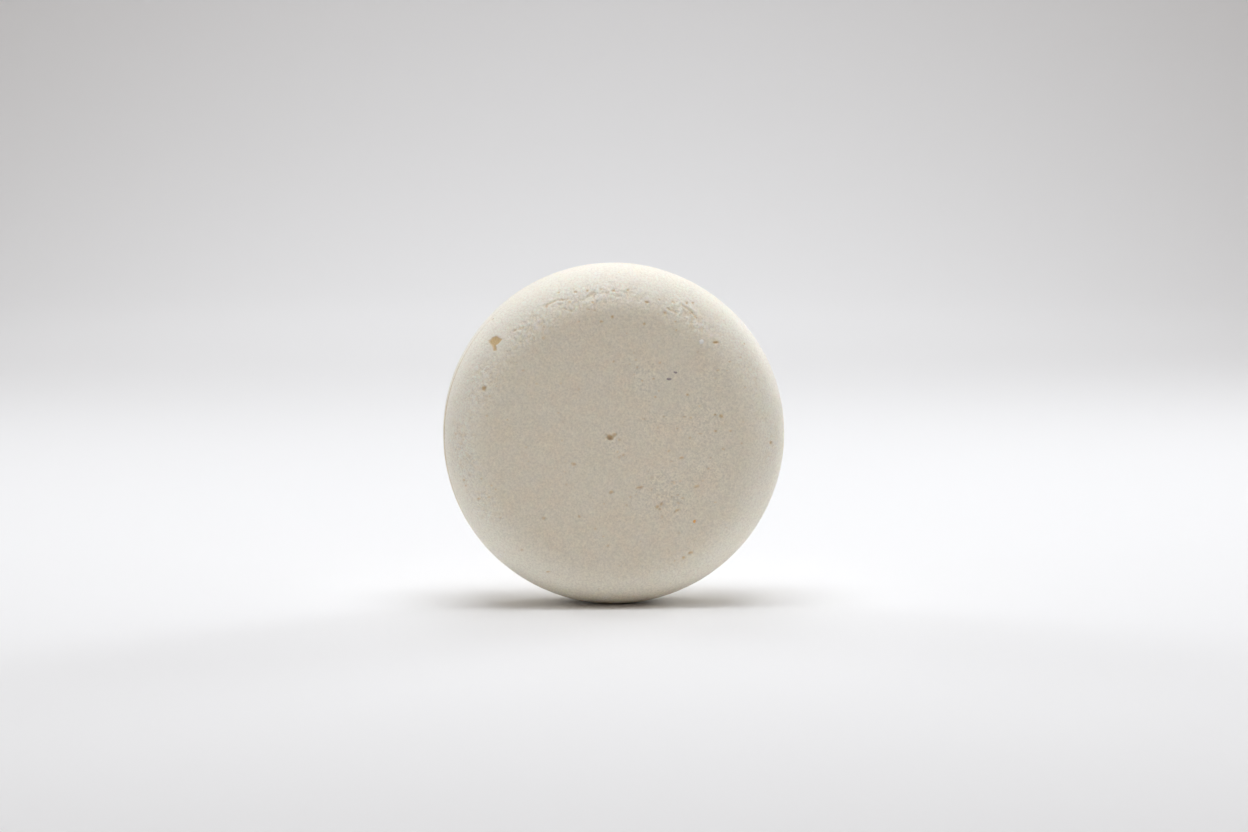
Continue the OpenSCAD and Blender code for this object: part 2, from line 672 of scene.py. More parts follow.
# Pits that can be told apart one by one, from the largest to the least.
NAMED_PITS = (
    # round pit on the left
    Pit(-29.1, 11.4, 1.4, 1.4, 0.50, 0, 0.9, 0.054),
    # middle pit, with its crumbly tail to the right
    Pit(-1.4, 0.5, 1.7, 1.5, 0.75, 0, 0.95, 0.054),
    Pit(-0.5, 1.1, 1.4, 1.1, 0.46, 15, 0.6),
    Pit(-2.3, 1.2, 0.8, 0.6, 0.22, 0, 0.3),
    Pit(0.6, 0.0, 0.9, 0.7, 0.22, -30, 0.3),
    Pit(0.3, -2.7, 0.5, 0.7, 0.19, 0, 0.6),
    # lower half of the face
    Pit(-1.2, -11.6, 1.4, 0.9, 0.28, 20, 0.7),
    Pit(5.1, -10.6, 2.1, 0.7, 0.28, 12, 0.7),
    Pit(9.0, -14.9, 1.2, 0.9, 0.31, 20, 0.8),
    Pit(9.9, -14.3, 1.1, 0.8, 0.25, 40, 0.7),
    Pit(9.6, -15.4, 0.9, 0.6, 0.25, 0, 0.8),
    Pit(13.4, -15.7, 1.6, 0.6, 0.22, 28, 0.7),
    Pit(17.6, -10.4, 1.5, 0.8, 0.22, 15, 0.6),
    Pit(14.3, -4.1, 1.5, 0.7, 0.22, 10, 0.8),
    Pit(11.5, -2.6, 1.1, 0.6, 0.15, 35, 0.5),
    Pit(20.2, -6.5, 0.7, 0.8, 0.19, 60, 0.6),
    Pit(23.5, -2.2, 0.8, 1.1, 0.19, 70, 0.5),
    Pit(21.8, 1.8, 1.0, 0.6, 0.19, 0, 0.8),
    Pit(16.2, 0.3, 0.7, 0.7, 0.19, 45, 0.7),
    Pit(18.5, 1.2, 1.3, 0.4, 0.12, 0, 0.5),
    Pit(25.1, 1.8, 0.8, 0.6, 0.15, 0, 0.6),
    Pit(23.0, 5.1, 1.1, 1.3, 0.28, 50, 0.8),
    Pit(21.7, 5.4, 0.9, 0.6, 0.22, 0, 0.9),
    Pit(14.9, 5.0, 1.1, 0.4, 0.15, 10, 0.6),
    Pit(10.4, 5.0, 0.6, 0.5, 0.15, 0, 0.8),
    Pit(6.1, 4.5, 1.5, 0.5, 0.12, -10, 0.4),
    Pit(15.6, 9.8, 0.9, 0.7, 0.22, -20, 0.9),
    Pit(8.5, 9.4, 0.7, 0.6, 0.19, 0, 0.9),
    Pit(9.3, 10.7, 0.6, 0.5, 0.12, 0, 0.7),
    Pit(8.2, 13.4, 0.8, 0.5, 0.15, 0, 0.8),
    Pit(17.8, 19.2, 0.7, 0.5, 0.12, 0, 0.4),
    Pit(24.9, 17.0, 0.7, 0.5, 0.19, 0, 0.9),
    Pit(27.4, 17.9, 0.7, 0.5, 0.15, 0, 0.6),
    Pit(12.6, -9.4, 1.9, 0.5, 0.12, 0, 0.4),
    Pit(7.8, -8.4, 1.1, 1.0, 0.15, 40, 0.2),
    Pit(3.1, -12.7, 0.7, 0.6, 0.19, -40, 0.6),
    Pit(2.2, -14.5, 0.8, 0.6, 0.19, -20, 0.4),
    Pit(13.5, -12.3, 0.7, 0.5, 0.15, 0, 0.5),
    Pit(14.6, -13.0, 0.9, 0.5, 0.19, -20, 0.6),
    Pit(12.2, -12.7, 0.6, 0.5, 0.15, 0, 0.6),
    Pit(13.5, -14.0, 0.9, 0.5, 0.15, 10, 0.5),
    Pit(21.8, -14.0, 0.8, 0.5, 0.12, 0, 0.6),
    Pit(10.1, -17.1, 0.6, 1.0, 0.12, 20, 0.4),
    # left half of the face
    Pit(-9.4, -5.3, 1.2, 1.0, 0.25, 0, 0.6),
    Pit(-16.0, -17.2, 1.2, 0.8, 0.25, 0, 0.6),
    Pit(-19.3, -4.7, 0.7, 0.5, 0.12, 0, 0.3),
    Pit(-12.2, 12.4, 0.6, 0.5, 0.15, 0, 0.6),
    Pit(-8.2, 11.1, 0.6, 0.5, 0.12, 0, 0.5),
    Pit(-33.5, -9.1, 0.9, 0.9, 0.25, 0, 0.7),
    Pit(-33.1, -10.3, 0.8, 0.6, 0.19, 0, 0.6),
    Pit(-29.6, -8.5, 0.7, 0.6, 0.19, 0, 0.6),
    Pit(-30.3, -13.1, 0.9, 0.8, 0.22, 0, 0.7),
    Pit(-28.0, -12.6, 0.8, 0.6, 0.15, 0, 0.5),
    Pit(-25.5, -17.1, 0.8, 0.6, 0.15, 0, 0.4),
    Pit(-35.3, 1.1, 0.9, 1.2, 0.19, 40, 0.4),
    Pit(-33.3, 1.0, 0.7, 0.6, 0.15, 0, 0.4),
    Pit(-15.0, -29.4, 1.6, 0.5, 0.15, 15, 0.8),
    # right shoulder
    Pit(21.9, 21.3, 1.6, 0.9, 0.37, 0, 1.0, 0.09),
    Pit(34.4, -1.1, 1.3, 1.0, 0.28, 0, 0.9, 0.09),
    Pit(16.4, -25.2, 1.7, 0.8, 0.22, 15, 0.9),
    Pit(14.9, -26.3, 0.9, 0.9, 0.19, 0, 0.9),
    Pit(12.9, -27.0, 0.6, 0.6, 0.12, 0, 0.6),
    # upper shoulder, from left to right
    Pit(-26.9, 26.0, 0.9, 0.6, 0.19, 20, 0.6),
    Pit(-15.3, 29.2, 1.2, 0.6, 0.22, 20, 0.7),
    Pit(-12.6, 32.2, 1.0, 0.6, 0.22, 10, 0.8),
    Pit(-10.2, 30.3, 1.1, 0.6, 0.19, 10, 0.7),
    Pit(-8.9, 32.4, 1.1, 0.7, 0.25, 0, 0.8),
    Pit(-6.3, 32.7, 0.9, 0.6, 0.22, 0, 0.9),
    Pit(-5.2, 30.2, 1.0, 0.6, 0.22, -25, 0.8),
    Pit(-3.2, 33.0, 0.9, 0.5, 0.19, 0, 0.8),
    Pit(-0.5, 32.7, 1.1, 0.6, 0.22, 0, 0.9),
    Pit(2.6, 32.8, 0.9, 0.6, 0.19, 0, 0.7),
    Pit(6.7, 30.2, 1.3, 0.7, 0.28, -20, 0.9),
    Pit(9.5, 30.7, 0.9, 0.7, 0.19, 0, 0.5),
    Pit(10.7, 27.9, 1.2, 0.8, 0.25, -10, 0.7),
    Pit(12.4, 30.2, 0.9, 0.6, 0.22, 0, 0.7),
    Pit(15.6, 29.9, 0.8, 0.7, 0.22, 30, 0.9),
    Pit(17.0, 29.9, 0.9, 0.6, 0.22, 0, 0.9),
    Pit(16.3, 27.8, 1.0, 0.9, 0.25, -40, 0.6),
    Pit(17.3, 27.0, 1.0, 0.8, 0.22, -40, 0.7),
    Pit(12.9, 25.9, 0.9, 0.5, 0.12, 0, 0.7),
    Pit(13.1, 24.0, 0.6, 0.5, 0.12, 0, 0.8),
    Pit(6.1, 25.4, 0.9, 0.8, 0.22, 20, 1.0),
    Pit(-0.9, 27.0, 0.9, 0.8, 0.22, 0, 1.0),
    Pit(-3.3, 26.0, 1.2, 0.5, 0.15, 0, 0.8),
    Pit(-8.2, 26.0, 1.0, 0.5, 0.12, 0, 0.6),
    Pit(-16.0, 22.4, 1.1, 0.8, 0.15, 0, 0.6),
    Pit(-18.0, 22.4, 0.6, 0.6, 0.12, 0, 0.6),
)

# The one sharp-edged hole, upper left: wide above, with a narrow waist and a blunt foot.
CHIPS = (
    Chip(
        (
            (-27.9, 21.3),
            (-27.1, 22.4),
            (-26.1, 22.8),
            (-25.6, 22.4),
            (-24.9, 22.1),
            (-25.6, 21.2),
            (-26.3, 20.7),
            (-26.1, 19.6),
            (-26.9, 19.5),
            (-27.1, 20.5),
        ),
        0.22,
    ),
)

CRACKS = (
    Crack((-16.0, 29.2), (-12.9, 30.6), 0.45, 0.16),
    Crack((-12.9, 30.6), (-9.8, 30.9), 0.4, 0.16),
    Crack((-11.8, 28.9), (-9.6, 28.2), 0.45, 0.18),
    Crack((-22.6, 23.9), (-20.2, 24.8), 0.5, 0.16, 0.06),
    Crack((14.3, 29.6), (16.4, 28.2), 0.5, 0.14, 0.08),
    Crack((16.4, 28.2), (18.0, 26.4), 0.6, 0.2, 0.08),
    Crack((-6.6, 28.8), (-4.4, 28.3), 0.35, 0.1),
    Crack((10.8, 29.0), (13.4, 27.6), 0.4, 0.1, 0.05),
)


@dataclass(frozen=True)
class CrumblyPatch:
    """A stretch of shoulder where the soap crumbled against the mould."""

    clock_deg: float
    half_angle_deg: float
    reach: float
    half_width: float
    strength: float

    def weight(self, spread: np.ndarray, clock: np.ndarray) -> np.ndarray:
        """Weighs how much of this patch is felt at each place.

        Args:
            spread: Distances from the middle of the face.
            clock: Angles round the face in degrees, anticlockwise from the right.

        Returns:
            The weights, from 0 to the patch's strength.
        """
        turn = (clock - self.clock_deg + 180.0) % 360.0 - 180.0
        around = hill(turn, 0.0, self.half_angle_deg)
        return around * hill(spread, self.reach, self.half_width) * self.strength


@dataclass(frozen=True)
class RoughSpot:
    """A stretch of the flat face that is finely pitted."""

    right: float
    up: float
    reach: float
    strength: float

    def weight(self, right: np.ndarray, up: np.ndarray) -> np.ndarray:
        """Weighs how much of this spot is felt at each place."""
        away = np.hypot(right - self.right, up - self.up)
        return self.strength * hill(away, 0.0, self.reach)


@dataclass(frozen=True)
class SkinWave:
    """One layer of soft lumps over the whole skin, higher where the face is rough."""

    lump: float
    height: float
    rough_height: float = 0.0


# From the casting's slow waves down to the skin's fine grain.
SKIN_WAVES = (
    SkinWave(17.0, 0.03),
    SkinWave(6.0, 0.015),
    SkinWave(1.3, 0.014, 0.03),
    SkinWave(0.62, 0.020, 0.03),
)


@dataclass(frozen=True)
class SkinRelief:
    """How high each kind of relief stands and how far it reaches.

    Tan and roughness are shares of one. Pairs say where a step starts and ends: for pits
    and grooves in half-widths from the middle, for crumbs in their own height from 0 to 1.
    """

    settling: float = 0.02
    smooth_face: float = 0.12
    # Ripples that the pour left on the rough stretches, longest along one slant.
    ripple_lump: float = 1.1
    ripple_height: float = 0.05
    ripple_squash: tuple[float, float, float] = (1.6, 1.0, 0.5)
    # Crumbs of two sizes, and the gaps between them, painted tan and shade.
    crumb: float = 1.15
    crumb_height: float = 0.3
    small_crumb: float = 0.7
    small_crumb_height: float = 0.22
    crumb_top: float = 0.9
    crumb_gap: tuple[float, float] = (0.05, 0.4)
    small_crumb_gap: tuple[float, float] = (0.05, 0.35)
    small_gap_share: float = 0.8
    gap_tan_and_shade: float = 0.34
    # How high a crumb stands where it is painted paler, as rubbed wear and painted highlight.
    painted_highlight_top: tuple[float, float] = (0.4, 0.75)
    # The ragged mouth, bowl, lip and tint that all pits share.
    pit_ragged: float = 0.28
    pit_bowl: tuple[float, float] = (0.45, 1.05)
    pit_floor: float = 0.25
    pit_lip_at: float = 1.25
    pit_lip_width: float = 0.22
    pit_tint: tuple[float, float] = (0.35, 0.95)
    # A crack's wander, in its own widths, its groove, its taper and its tint.
    crack_wander: float = 0.35
    crack_groove: tuple[float, float] = (0.25, 1.0)
    crack_taper: float = 0.6
    # How strongly a crack's groove is painted tan, as painted shade.
    crack_tan_and_shade: float = 0.55
    # A chip's broken wall and tint, in its own walls inwards, and its uneven floor.
    chip_wall: tuple[float, float] = (-0.3, 0.7)
    chip_tint: tuple[float, float] = (-0.2, 0.4)
    chip_floor: float = 0.12
    # The fine edge where each shoulder meets the rim, and the sunk band between.
    rim_edge: float = 0.06
    rim_edge_out: float = 0.25
    rim_edge_half: float = 0.35
    rim_sunk: float = 0.10
    rim_sunk_ease: float = 0.5


@dataclass(frozen=True)
class StrayPores:
    """Small stray pores: how many are tried on each side, and their range of sizes."""

    front_tries: int = 620
    back_tries: int = 260
    front_least: float = 0.16
    back_share: float = 0.3
    kept_share: float = 0.8
    edge_room: float = 1.5
    width: tuple[float, float] = (0.4, 1.0)
    squash: tuple[float, float] = (0.55, 0.95)
    depth: tuple[float, float] = (0.05, 0.15)
    slant_deg: tuple[float, float] = (-30.0, 30.0)
    tan: tuple[float, float] = (0.25, 0.75)
    lip: float = 0.0252


def between(
    ends: tuple[float, float], share: float | np.ndarray
) -> float | np.ndarray:
    """Gives the value that lies a share of the way from the first end to the second."""
    return ends[0] + (ends[1] - ends[0]) * share


@dataclass
class SoapCake:
    """The cast cake: a round body with two faces, two shoulders and a short straight rim.

    The smooth body is smaller than the CAD's by relief_room on every side, so that relief
    may rise that far. The front face has front_cells net cells along each side, and the
    back, which has no named pits, has coarser times fewer.
    """

    radius: float
    thickness: float
    centre_up: float
    shoulder: float = 10.5
    relief_room: float = 0.09
    front_cells: int = 390
    coarser: int = 2
    rim_rows: int = 20
    seed: int = 41
    # Where the shoulders are painted pale, as dried skin and as painted light: out from the flat's
    # edge, paler towards the top as painted light from above, and least at the very foot as
    # painted shade where the cake stands.
    pale_from_flat: tuple[float, float] = (-1.0, 7.0)
    foot_heights: tuple[float, float] = (-0.95, -0.82)
    foot_pale_share: float = 0.2
    side_heights: tuple[float, float] = (-0.3, 0.9)
    low_side_pale_share: float = 0.8
    # The thin tan line just in front of the rim: how far in front of the rim, half its width, and
    # where it runs.
    edge_line_forward: float = 1.9
    edge_line_half: float = 0.4
    edge_line_clock_deg: float = 178.0
    edge_line_half_deg: float = 32.0
    finish: CastTallowSoap = CastTallowSoap()
    relief: SkinRelief = SkinRelief()
    pores: StrayPores = StrayPores()
    # How raggedly the crumbly patches come and go.
    patch_lump: float = 2.6
    patch_level: float = 0.75
    patch_swing: float = 0.5
    patch_most: float = 1.2
    patches: tuple[CrumblyPatch, ...] = (
        CrumblyPatch(98.0, 22.0, 31.8, 2.6, 1.0),
        CrumblyPatch(128.0, 16.0, 30.6, 2.8, 1.0),
        CrumblyPatch(60.0, 16.0, 31.4, 2.8, 1.0),
        CrumblyPatch(157.0, 12.0, 31.5, 2.8, 1.0),
        CrumblyPatch(184.0, 14.0, 33.4, 2.8, 0.9),
        CrumblyPatch(206.0, 12.0, 32.0, 2.8, 0.6),
        CrumblyPatch(358.0, 8.0, 34.4, 1.8, 0.8),
        CrumblyPatch(24.0, 18.0, 32.6, 2.6, 0.5),
        CrumblyPatch(300.0, 24.0, 30.0, 3.0, 0.25),
    )
    rough_spots: tuple[RoughSpot, ...] = (
        RoughSpot(11.0, -12.0, 6.5, 1.0),
        RoughSpot(18.0, 4.0, 6.0, 0.7),
        RoughSpot(20.0, -7.0, 6.0, 0.7),
        RoughSpot(6.0, 14.0, 4.5, 0.7),
        RoughSpot(8.0, 3.0, 5.0, 0.6),
        RoughSpot(0.0, -1.5, 3.0, 0.8),
        RoughSpot(22.0, 14.0, 5.0, 0.5),
    )
    points: np.ndarray = field(default_factory=lambda: np.zeros((0, 3)))
    normals: np.ndarray = field(default_factory=lambda: np.zeros((0, 3)))
    hollow_tan_and_shade: np.ndarray = field(default_factory=lambda: np.zeros(0))
    rubbed_and_painted_highlight: np.ndarray = field(default_factory=lambda: np.zeros(0))
    coarse: np.ndarray = field(default_factory=lambda: np.zeros(0))

    def __post_init__(self) -> None:
        """Works out the sizes that follow from the others."""
        self.body_radius = self.radius - self.relief_room
        self.body_half = self.thickness / 2.0 - self.relief_room
        self.flat = self.body_radius - self.shoulder
        self.rim_half = self.body_half - self.shoulder
        self.reach = self.flat + self.shoulder * QUARTER_TURN

    # -- the smooth skin -----------------------------------------------------------------

    def disc_sheet(self, cells: int, side: int) -> tuple[np.ndarray, np.ndarray]:
        """Lays an even square net over one face and its shoulder.

        Args:
            cells: Number of cells along each side of the net.
            side: -1 for the front face, 1 for the back.

        Returns:
            The smooth skin's points and its outward normals.
        """
        line = np.linspace(-1.0, 1.0, cells + 1)
        across, upward = np.meshgrid(line, line, indexing="ij")
        across, upward = across.ravel(), upward.ravel()
        wide = np.abs(across) > np.abs(upward)
        long_side = np.where(wide, across, upward)
        short_side = np.where(wide, upward, across)
        share = np.divide(
            short_side, long_side, out=np.zeros_like(short_side), where=long_side != 0
        )
        angle = np.where(wide, share * math.pi / 4, QUARTER_TURN - share * math.pi / 4)
        run = long_side * self.reach
        angle = np.where(run < 0, angle + math.pi, angle)
        run = np.abs(run)
        lean = np.clip((run - self.flat) / self.shoulder, 0.0, QUARTER_TURN)
        spread = np.minimum(run, self.flat) + self.shoulder * np.sin(lean)
        depth = side * (self.rim_half + self.shoulder * np.cos(lean))
        points = np.stack([spread * np.cos(angle), depth, spread * np.sin(angle)], axis=1)
        normals = np.stack(
            [
                np.sin(lean) * np.cos(angle),
                side * np.cos(lean),
                np.sin(lean) * np.sin(angle),
            ],
            axis=1,
        )
        return points, normals

    @staticmethod
    def net_faces(cells: int, start: int, flip: bool) -> np.ndarray:
        """Lists the four-sided faces of a square net.

        Args:
            cells: Number of cells along each side.
            start: Number of the net's first point.
            flip: Whether the faces turn the other way round.

        Returns:
            Rows of four point numbers.
        """
        number = np.arange((cells + 1) ** 2).reshape(cells + 1, cells + 1) + start
        corners = [number[:-1, :-1], number[1:, :-1], number[1:, 1:], number[:-1, 1:]]
        if flip:
            corners.reverse()
        return np.stack([c.ravel() for c in corners], axis=1)

    @staticmethod
    def net_edge(cells: int, start: int) -> np.ndarray:
        """Walks once round the outside of a square net, anticlockwise from one corner.

        Args:
            cells: Number of cells along each side.
            start: Number of the net's first point.

        Returns:
            The point numbers in order.
        """
        number = np.arange((cells + 1) ** 2).reshape(cells + 1, cells + 1) + start
        return np.concatenate(
            [number[-1, :-1], number[:0:-1, -1], number[0, :0:-1], number[:-1, 0]]
        )

    def rim_ring(self, depth: float, count: int) -> tuple[np.ndarray, np.ndarray]:
        """Makes one ring of points round the straight rim.

        Args:
            depth: The ring's place through the thickness.
            count: Number of points in it.

        Returns:
            The ring's points and normals, in the order of net_edge.
        """
        angle = np.arange(count) * FULL_TURN / count - math.pi / 4
        level = np.zeros(count)
        normals = np.stack([np.cos(angle), level, np.sin(angle)], axis=1)
        return normals * self.body_radius + (0.0, depth, 0.0), normals

    def lay_skin(self) -> list:
        """Joins both faces and the rim into one closed skin.

        Returns:
            The faces, as lists of point numbers.
        """
        front, front_out = self.disc_sheet(self.front_cells, -1)
        back_cells = self.front_cells // self.coarser
        back, back_out = self.disc_sheet(back_cells, 1)
        around = 4 * self.front_cells
        rings = [self.net_edge(self.front_cells, 0)]
        points, normals = [front], [front_out]
        total = len(front)
        for row in range(1, self.rim_rows):
            depth = -self.rim_half + 2.0 * self.rim_half * row / self.rim_rows
            ring, out = self.rim_ring(depth, around)
            points.append(ring)
            normals.append(out)
            rings.append(np.arange(around) + total)
            total += around
        points.append(back)
        normals.append(back_out)
        self.points = np.concatenate(points)
        self.normals = np.concatenate(normals)
        faces = self.net_faces(self.front_cells, 0, False).tolist()
        faces += self.net_faces(back_cells, total, True).tolist()
        for near, far in zip(rings, rings[1:]):
            block = [near, np.roll(near, -1), np.roll(far, -1), far]
            faces += np.stack(block, axis=1)[:, ::-1].tolist()
        back_edge = self.net_edge(back_cells, total)
        faces += self.narrow_down(rings[-1], back_edge)
        return faces

    def narrow_down(self, fine: np.ndarray, coarse: np.ndarray) -> list:
        """Joins a fine ring to a ring with fewer points by fans of triangles.

        Args:
            fine: Point numbers of the fine ring.
            coarse: Point numbers of the coarse ring.

        Returns:
            The triangles.
        """
        faces = []
        for step in range(len(coarse)):
            here, after = coarse[step], coarse[(step + 1) % len(coarse)]
            run = [fine[(step * self.coarser + k) % len(fine)] for k in range(self.coarser + 1)]
            half = (self.coarser + 1) // 2
            for k in range(self.coarser):
                corner = here if k < half else after
                faces.append([int(corner), int(run[k + 1]), int(run[k])])
            faces.append([int(here), int(after), int(run[half])])
        return faces

    # -- the relief ----------------------------------------------------------------------

    def skin_spot(self, right: float, up: float, side: int = -1) -> tuple[Vector, Vector]:
        """Finds a place on the smooth skin and the way out of it.

        Args:
            right: Distance right of the middle.
            up: Distance above the middle.
            side: -1 for the front, 1 for the back.

        Returns:
            The point and its outward normal.
        """
        spread = math.hypot(right, up)
        lean = math.asin(min(1.0, max(0.0, spread - self.flat) / self.shoulder))
        depth = side * (self.rim_half + self.shoulder * math.cos(lean))
        turn = math.atan2(up, right)
        out = Vector(
            (
                math.sin(lean) * math.cos(turn),
                side * math.cos(lean),
                math.sin(lean) * math.sin(turn),
            )
        )
        return Vector((right, depth, up)), out

    def local_axes(self, out: Vector) -> tuple[np.ndarray, np.ndarray]:
        """Gives the level and the rising direction in the skin at one place.

        Args:
            out: The outward normal there.

        Returns:
            Two unit vectors that lie in the skin.
        """
        level = Vector((0.0, 0.0, 1.0)).cross(out)
        # Near the very top and bottom the cross product is too short to be trusted.
        if level.length < 0.2:
            level = Vector((1.0, 0.0, 0.0))
        level.normalize()
        level = -level if level.x < 0 else level
        rising = level.cross(out).normalized()
        rising = -rising if rising.z < 0 else rising
        return np.array(level), np.array(rising)

    def sink_pit(self, height: np.ndarray, pit: Pit, side: int, seed: int) -> None:
        """Sinks one ragged pit into the relief and paints its inside tan and shade.

        Args:
            height: The relief so far, changed in place.
            pit: The pit.
            side: -1 for the front, 1 for the back.
            seed: Picks the raggedness of its mouth.
        """
        shape = self.relief
        spot, out = self.skin_spot(pit.right, pit.up, side)
        gap = self.points - np.array(spot)
        wide = max(pit.width, pit.height) * 1.3
        near = np.flatnonzero((np.abs(gap) < wide).all(axis=1))
        if not len(near):
            return
        level, rising = self.local_axes(out)
        across, upward = gap[near] @ level, gap[near] @ rising
        turn = math.radians(pit.turn)
        along = across * math.cos(turn) + upward * math.sin(turn)
        over = upward * math.cos(turn) - across * math.sin(turn)
        size = np.hypot(along / (pit.width / 2.0), over / (pit.height / 2.0))
        ragged = lattice_noise(gap[near] + seed * 3.7, max(0.35, 0.4 * pit.width), seed)
        size = size * (1.0 + shape.pit_ragged * ragged)
        bowl = 1.0 - smooth_step(*shape.pit_bowl, size)
        floor = 1.0 + shape.pit_floor * lattice_noise(gap[near] + seed * 1.3, 0.5, seed + 1)
        lip = pit.lip * hill(size, shape.pit_lip_at, shape.pit_lip_width)
        height[near] = height[near] * (1.0 - bowl) - pit.depth * bowl * floor + lip
        # The inside is painted a darker tan: the tan of the pit, and painted shade.
        tint = pit.tan * (1.0 - smooth_step(*shape.pit_tint, size))
        self.hollow_tan_and_shade[near] = np.maximum(self.hollow_tan_and_shade[near], tint)

    def break_out(self, height: np.ndarray, chip: Chip, seed: int) -> None:
        """Breaks one sharp-edged chip out of the front skin and tints its floor.

        Args:
            height: The relief so far, changed in place.
            chip: The chip.
            seed: Picks how uneven its floor is.
        """
        corners = np.array(chip.outline)
        front = self.points[:, [0, 2]]
        reach = np.abs(corners - corners.mean(axis=0)).max() + 1.0
        close = (np.abs(front - corners.mean(axis=0)) < reach).all(axis=1)
        near = np.flatnonzero(close & (self.points[:, 1] < 0))
        spots = front[near]
        inside = np.zeros(len(spots), dtype=bool)
        edge_gap = np.full(len(spots), np.inf)
        for start, end in zip(corners, np.roll(corners, -1, axis=0)):
            way = end - start
            share = np.clip((spots - start) @ way / (way @ way), 0.0, 1.0)
            stray = spots - start - share[:, None] * way
            edge_gap = np.minimum(edge_gap, np.linalg.norm(stray, axis=1))
            beside = (start[1] > spots[:, 1]) != (end[1] > spots[:, 1])
            # A level edge is never beside a spot, so its rise may be any number.
            rise = way[1] or 1.0
            crossing = start[0] + (spots[:, 1] - start[1]) * way[0] / rise
            inside ^= beside & (spots[:, 0] < crossing)
        depth_in = np.where(inside, edge_gap, -edge_gap)
        walls_in = depth_in / chip.wall
        drop = smooth_step(*self.relief.chip_wall, walls_in)
        uneven = self.relief.chip_floor * lattice_noise(self.points[near], 0.6, seed)
        height[near] = height[near] * (1.0 - drop) - chip.depth * drop * (1.0 + uneven)
        tint = chip.tan * smooth_step(*self.relief.chip_tint, walls_in)
        self.hollow_tan_and_shade[near] = np.maximum(self.hollow_tan_and_shade[near], tint)

    def cut_crack(self, height: np.ndarray, crack: Crack, seed: int) -> None:
        """Cuts one wandering crack with a low ridge beside it.

        Args:
            height: The relief so far, changed in place.
            crack: The crack.
            seed: Picks how it wanders.
        """
        shape = self.relief
        start = np.array(self.skin_spot(*crack.start)[0])
        end = np.array(self.skin_spot(*crack.end)[0])
        way = end - start
        length = float(np.linalg.norm(way))
        gap = self.points - start
        share = np.clip(gap @ way / length**2, 0.0, 1.0)
        stray = gap - share[:, None] * way
        away = np.linalg.norm(stray, axis=1)
        near = np.flatnonzero(away < 4.0 * crack.width)
        wander = lattice_noise(self.points[near], 0.8, seed)
        away = np.abs(away[near] + shape.crack_wander * crack.width * wander)
        from_middle = np.abs(2.0 * share[near] - 1.0)
        taper = 1.0 - shape.crack_taper * smooth_step(0.7, 1.0, from_middle)
        cut = taper * (1.0 - smooth_step(*shape.crack_groove, away / (crack.width / 2.0)))
        ridge = crack.ridge * taper * hill(away, 1.1 * crack.width, 0.45 * crack.width)
        height[near] += ridge - crack.depth * cut
        # The groove is painted a darker tan, as painted shade in the crack.
        self.hollow_tan_and_shade[near] = np.maximum(self.hollow_tan_and_shade[near], shape.crack_tan_and_shade * cut)

    def crumbliness(self) -> np.ndarray:
        """Weighs how crumbly the skin is at each point of the front shoulder.

        Returns:
            One weight for each point, from 0 to about 1.
        """
        spread = np.hypot(self.points[:, 0], self.points[:, 2])
        clock = np.degrees(np.arctan2(self.points[:, 2], self.points[:, 0]))
        weight = np.zeros(len(self.points))
        for patch in self.patches:
            weight = np.maximum(weight, patch.weight(spread, clock))
        ragged = lattice_noise(self.points, self.patch_lump, self.seed + 11)
        weight *= np.clip(self.patch_level + self.patch_swing * ragged, 0.0, self.patch_most)
        return weight * (self.points[:, 1] < 0)

    def roughness_map(self) -> np.ndarray:
        """Weighs how finely pitted the flat face is at each point.

        Returns:
            One weight for each point, from 0 to about 1.
        """
        weight = np.full(len(self.points), self.relief.smooth_face)
        for spot in self.rough_spots:
            weight = np.maximum(weight, spot.weight(self.points[:, 0], self.points[:, 2]))
        return weight

    def scatter_pores(self, height: np.ndarray) -> int:
        """Sinks many small stray pores, thickest where the face is rough.

        Args:
            height: The relief so far, changed in place.

        Returns:
            How many pores were made.
        """
        rng = np.random.default_rng(self.seed)
        pores = self.pores
        made = 0
        for side, tries in ((-1, pores.front_tries), (1, pores.back_tries)):
            for _ in range(tries):
                spread = (self.radius - pores.edge_room) * math.sqrt(rng.random())
                turn = FULL_TURN * rng.random()
                keep, wide, squash, slant, tan = rng.random(5)
                right, up = spread * math.cos(turn), spread * math.sin(turn)
                chance = pores.back_share
                if side < 0:
                    felt = max(spot.weight(right, up) for spot in self.rough_spots)
                    chance = max(pores.front_least, felt)
                if keep > pores.kept_share * chance:
                    continue
                width = between(pores.width, wide**2)
                pit = Pit(
                    right,
                    up,
                    width,
                    width * between(pores.squash, squash),
                    between(pores.depth, wide),
                    between(pores.slant_deg, slant),
                    between(pores.tan, tan),
                    pores.lip,
                )
                self.sink_pit(height, pit, side, STRAY_SEEDS + made)
                made += 1
        return made

